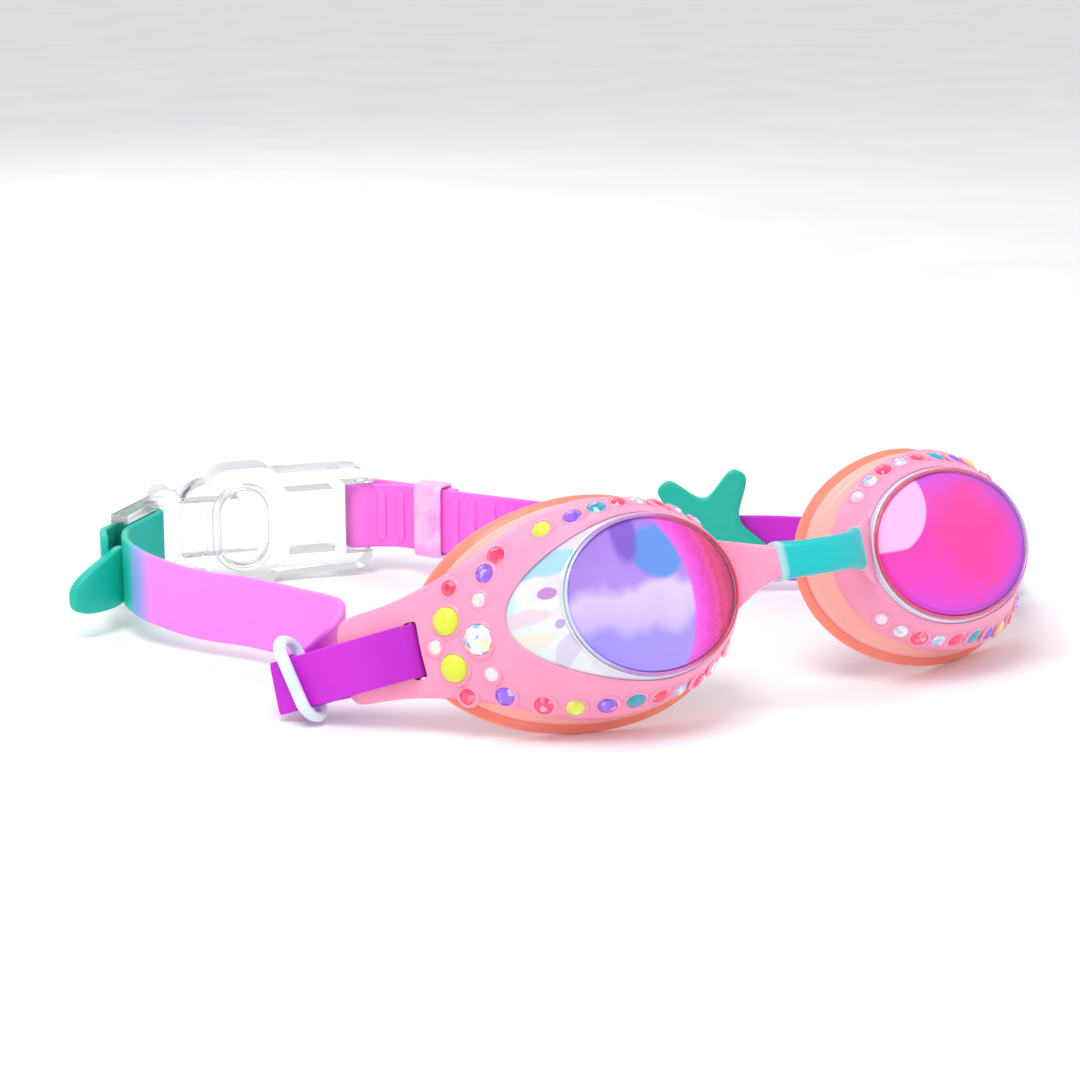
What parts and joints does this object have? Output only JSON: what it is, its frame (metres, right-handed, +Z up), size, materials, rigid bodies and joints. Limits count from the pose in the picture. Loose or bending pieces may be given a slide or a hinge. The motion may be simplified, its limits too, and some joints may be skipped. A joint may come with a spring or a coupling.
{
  "type": "swim goggles",
  "caption": "Jewelled swim goggles with leaned eye cups on an arched nose bridge, soft face gaskets, split head strap with slide rings, starfish charm and a push-button clasp.",
  "frame": {"origin": "centre of the bounding box in plan, on the table that the goggles rest on", "axes": "+X towards the wearer's left eye cup, along the longest extent; +Y from the windows back to the clasp; +Z up from the table, along the shortest extent"},
  "size_m": [0.2034, 0.1634, 0.0448],
  "materials": {
    "frame_pink": "satin pink thermoplastic",
    "band_teal": "satin teal moulded band",
    "lens_violet": "violet-blue mirror coated polycarbonate, clear sides",
    "lens_magenta": "magenta mirror coated polycarbonate, clear sides",
    "gasket_coral": "satin coral silicone with a paler step",
    "stone_red": "faceted acrylic",
    "stone_purple": "faceted acrylic",
    "stone_yellow": "faceted and domed acrylic",
    "stone_teal": "faceted acrylic",
    "stone_crystal": "iridescent clear acrylic",
    "stone_blush": "clear acrylic over a pink base",
    "strap_orchid": "matt orchid silicone, teal at the clasp end",
    "strap_fuchsia": "satin fuchsia silicone",
    "ring_white": "smooth pale blue-white",
    "keeper_pink": "translucent pale pink",
    "clasp_clear": "clear moulded polycarbonate",
    "button_clear": "clear moulded polycarbonate, frosted face",
    "charm_teal": "matt teal silicone"
  },
  "bodies": {
    "goggles": {"right_frame": "frame_pink", "left_frame": "frame_pink", "nose_bridge": "frame_pink", "bridge_band": "band_teal", "right_lens": "lens_violet", "left_lens": "lens_magenta", "right_gasket": "gasket_coral", "left_gasket": "gasket_coral", "right_red_stones": "stone_red", "left_red_stones": "stone_red", "right_purple_stones": "stone_purple", "left_purple_stones": "stone_purple", "right_yellow_stones": "stone_yellow", "left_yellow_stones": "stone_yellow", "right_teal_stones": "stone_teal", "left_teal_stones": "stone_teal", "right_crystal_stones": "stone_crystal", "left_crystal_stones": "stone_crystal", "right_clear_stones": "stone_blush", "left_clear_stones": "stone_blush", "right_yellow_domes": "stone_yellow", "left_yellow_domes": "stone_yellow", "right_strap_tail": "strap_fuchsia", "left_strap": "strap_fuchsia", "clasp_housing": "clasp_clear", "star_charm": "charm_teal"},
    "right_strap_half": {"right_strap": "strap_orchid", "clasp_insert": "clasp_clear", "pull_tab": "charm_teal"},
    "release_button": {"release_button": "button_clear"},
    "right_ring": {"right_strap_ring": "ring_white"},
    "left_ring": {"left_strap_ring": "ring_white"},
    "keeper": {"strap_keeper": "keeper_pink"}
  },
  "joints": [
    {"name": "right_strap_swing", "type": "hinge", "parent": "goggles", "child": "right_strap_half", "pos_m": [-0.06854, -0.01651, 0.0137], "axis": [0, 0, 1], "range_deg": [0, 60]},
    {"name": "release_button_press", "type": "slide", "parent": "goggles", "child": "release_button", "axis": [0.2368, 0.9715, 0], "range_m": [0, 0.0015], "stiffness_N_per_m": 300, "springref_m": -0.001},
    {"name": "right_ring_slide", "type": "slide", "parent": "goggles", "child": "right_ring", "axis": [-0.5547, 0.7659, -0.3251], "range_m": [-0.003, 0]},
    {"name": "left_ring_slide", "type": "slide", "parent": "goggles", "child": "left_ring", "axis": [0.5547, 0.7659, -0.3251], "range_m": [-0.003, 0]},
    {"name": "keeper_slide", "type": "slide", "parent": "goggles", "child": "keeper", "axis": [0.503, -0.8643, 0], "range_m": [0, 0.014]}
  ]
}
